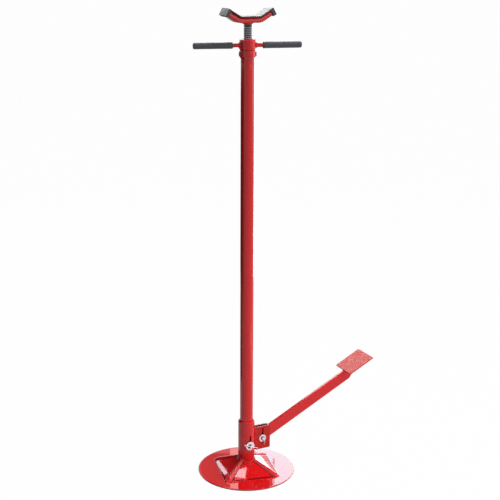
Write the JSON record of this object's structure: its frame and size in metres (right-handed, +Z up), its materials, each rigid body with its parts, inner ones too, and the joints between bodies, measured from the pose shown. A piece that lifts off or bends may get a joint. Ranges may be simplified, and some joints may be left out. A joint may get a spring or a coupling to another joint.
{
  "type": "underhoist stand",
  "caption": "Tall telescoping support stand on a round base, with a foot pedal that lifts the column and a hand-turned screw under a cradle saddle.",
  "frame": {"origin": "on the floor, on the column's axis, at the centre of the round base", "axes": "+X from the column along the pedal, +Y along the pins to the side away from the split pins, +Z up the column"},
  "size_m": [0.588, 0.3, 1.4186],
  "materials": {
    "red_enamel": "gloss",
    "zinc": "bright zinc plate",
    "dark_steel": "oiled black steel",
    "bearing_steel": "ground",
    "vinyl": "dipped vinyl",
    "rubber": "moulded rubber"
  },
  "bodies": {
    "base": {"base_plate": "red_enamel", "base_sleeve": "red_enamel", "pedal_bracket": "red_enamel", "fulcrum_pin": "zinc", "fulcrum_washers": "zinc", "fulcrum_cotter": "zinc"},
    "pedal": {"pedal_arm": "red_enamel", "pedal_plate": "red_enamel"},
    "column": {"column_tube": "red_enamel", "lift_pin": "zinc", "lift_washers": "zinc", "lift_cotter": "zinc", "bearing_housing": "red_enamel", "retaining_bolts": "red_enamel", "bearing_lower_race": "bearing_steel"},
    "cage": {"bearing_balls": "bearing_steel", "bearing_cage": "bearing_steel"},
    "handle": {"bearing_upper_race": "bearing_steel", "handle_hub": "red_enamel", "handle_rod_left": "red_enamel", "handle_rod_right": "red_enamel", "grip_left": "vinyl", "grip_right": "vinyl"},
    "screw": {"lift_screw": "dark_steel", "screw_stop_washer": "bearing_steel", "screw_stop_bolt": "dark_steel", "saddle_socket": "red_enamel", "saddle_pin": "zinc", "saddle_channel": "red_enamel", "saddle_pad": "rubber"}
  },
  "joints": [
    {"name": "column_lift", "type": "slide", "parent": "base", "child": "column", "axis": [0, 0, 1], "range_m": [0, 0.03]},
    {"name": "pedal_press", "type": "hinge", "parent": "base", "child": "pedal", "pos_m": [0.0515, 0, 0.098], "axis": [0, 1, 0], "range_deg": [0, 32.21]},
    {"name": "handle_spin", "type": "hinge", "parent": "column", "child": "handle", "pos_m": [0, 0, 1.3], "axis": [0, 0, -1], "range_deg": [-2736, 41040]},
    {"name": "screw_rise", "type": "slide", "parent": "column", "child": "screw", "axis": [0, 0, 1], "range_m": [-0.038, 0.57]},
    {"name": "cage_orbit", "type": "hinge", "parent": "column", "child": "cage", "pos_m": [0, 0, 1.3], "axis": [0, 0, -1], "range_deg": [-1368, 20520]}
  ],
  "couplings": [
    {"joint": "pedal_press", "follows": "column_lift", "rad_per_m": 18.739},
    {"joint": "screw_rise", "follows": "handle_spin", "m_per_rad": 0.00079577},
    {"joint": "cage_orbit", "follows": "handle_spin", "ratio": 0.5}
  ]
}
